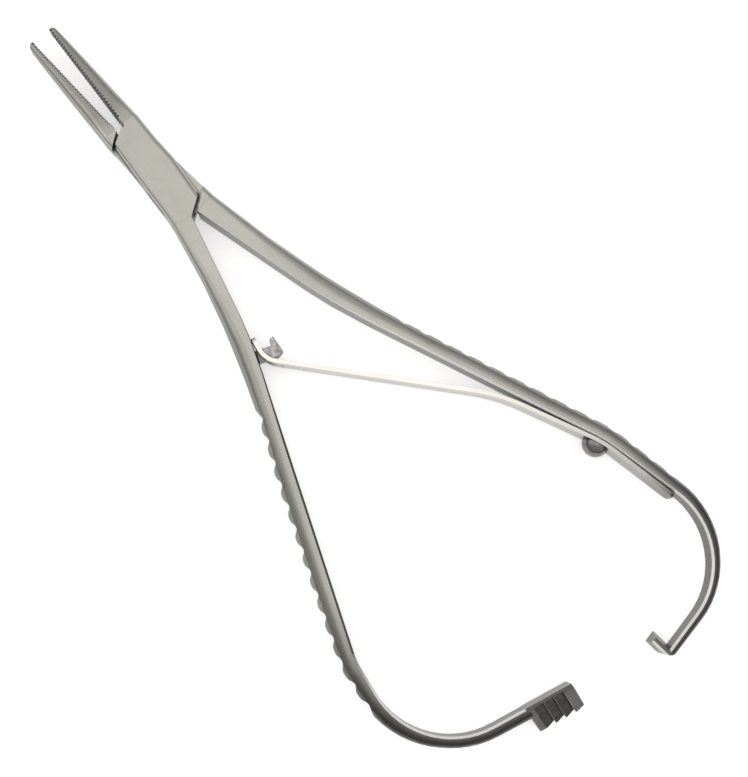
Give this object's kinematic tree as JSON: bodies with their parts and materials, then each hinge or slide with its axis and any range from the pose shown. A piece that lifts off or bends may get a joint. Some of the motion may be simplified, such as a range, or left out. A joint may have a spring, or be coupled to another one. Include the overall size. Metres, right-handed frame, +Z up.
{
  "type": "elastic ligature pliers",
  "caption": "Slim spring-opened pliers with a box joint, narrow serrated jaws, scalloped ring-less handles and a toothed ratchet with a hook at the far end.",
  "frame": {"origin": "on the pivot axis, at the underside of the box joint that the pliers lie on", "axes": "+X along the pliers' length to the jaw tips, +Y to the ratchet handle's side, +Z up out of the side shown in the picture"},
  "size_m": [0.1389, 0.0602, 0.0048],
  "materials": {
    "ratchet_arm": "satin",
    "hook_arm": "satin",
    "pivot_pin": "satin",
    "leaf_spring": "satin",
    "spring_screw": "satin",
    "spring_catch": "satin"
  },
  "bodies": {
    "ratchet_half": {"ratchet_arm": "ratchet_arm", "pivot_pin": "pivot_pin", "spring_catch": "spring_catch"},
    "hook_half": {"hook_arm": "hook_arm", "leaf_spring": "leaf_spring", "spring_screw": "spring_screw"}
  },
  "joints": [
    {"name": "handle_pivot", "type": "hinge", "parent": "ratchet_half", "child": "hook_half", "pos_m": [0, 0, 0.0024], "axis": [0, 0, -1], "range_deg": [0, 6.2], "stiffness_Nm_per_rad": 1.5, "springref_deg": -14.32, "deforming": ["leaf_spring"]}
  ]
}
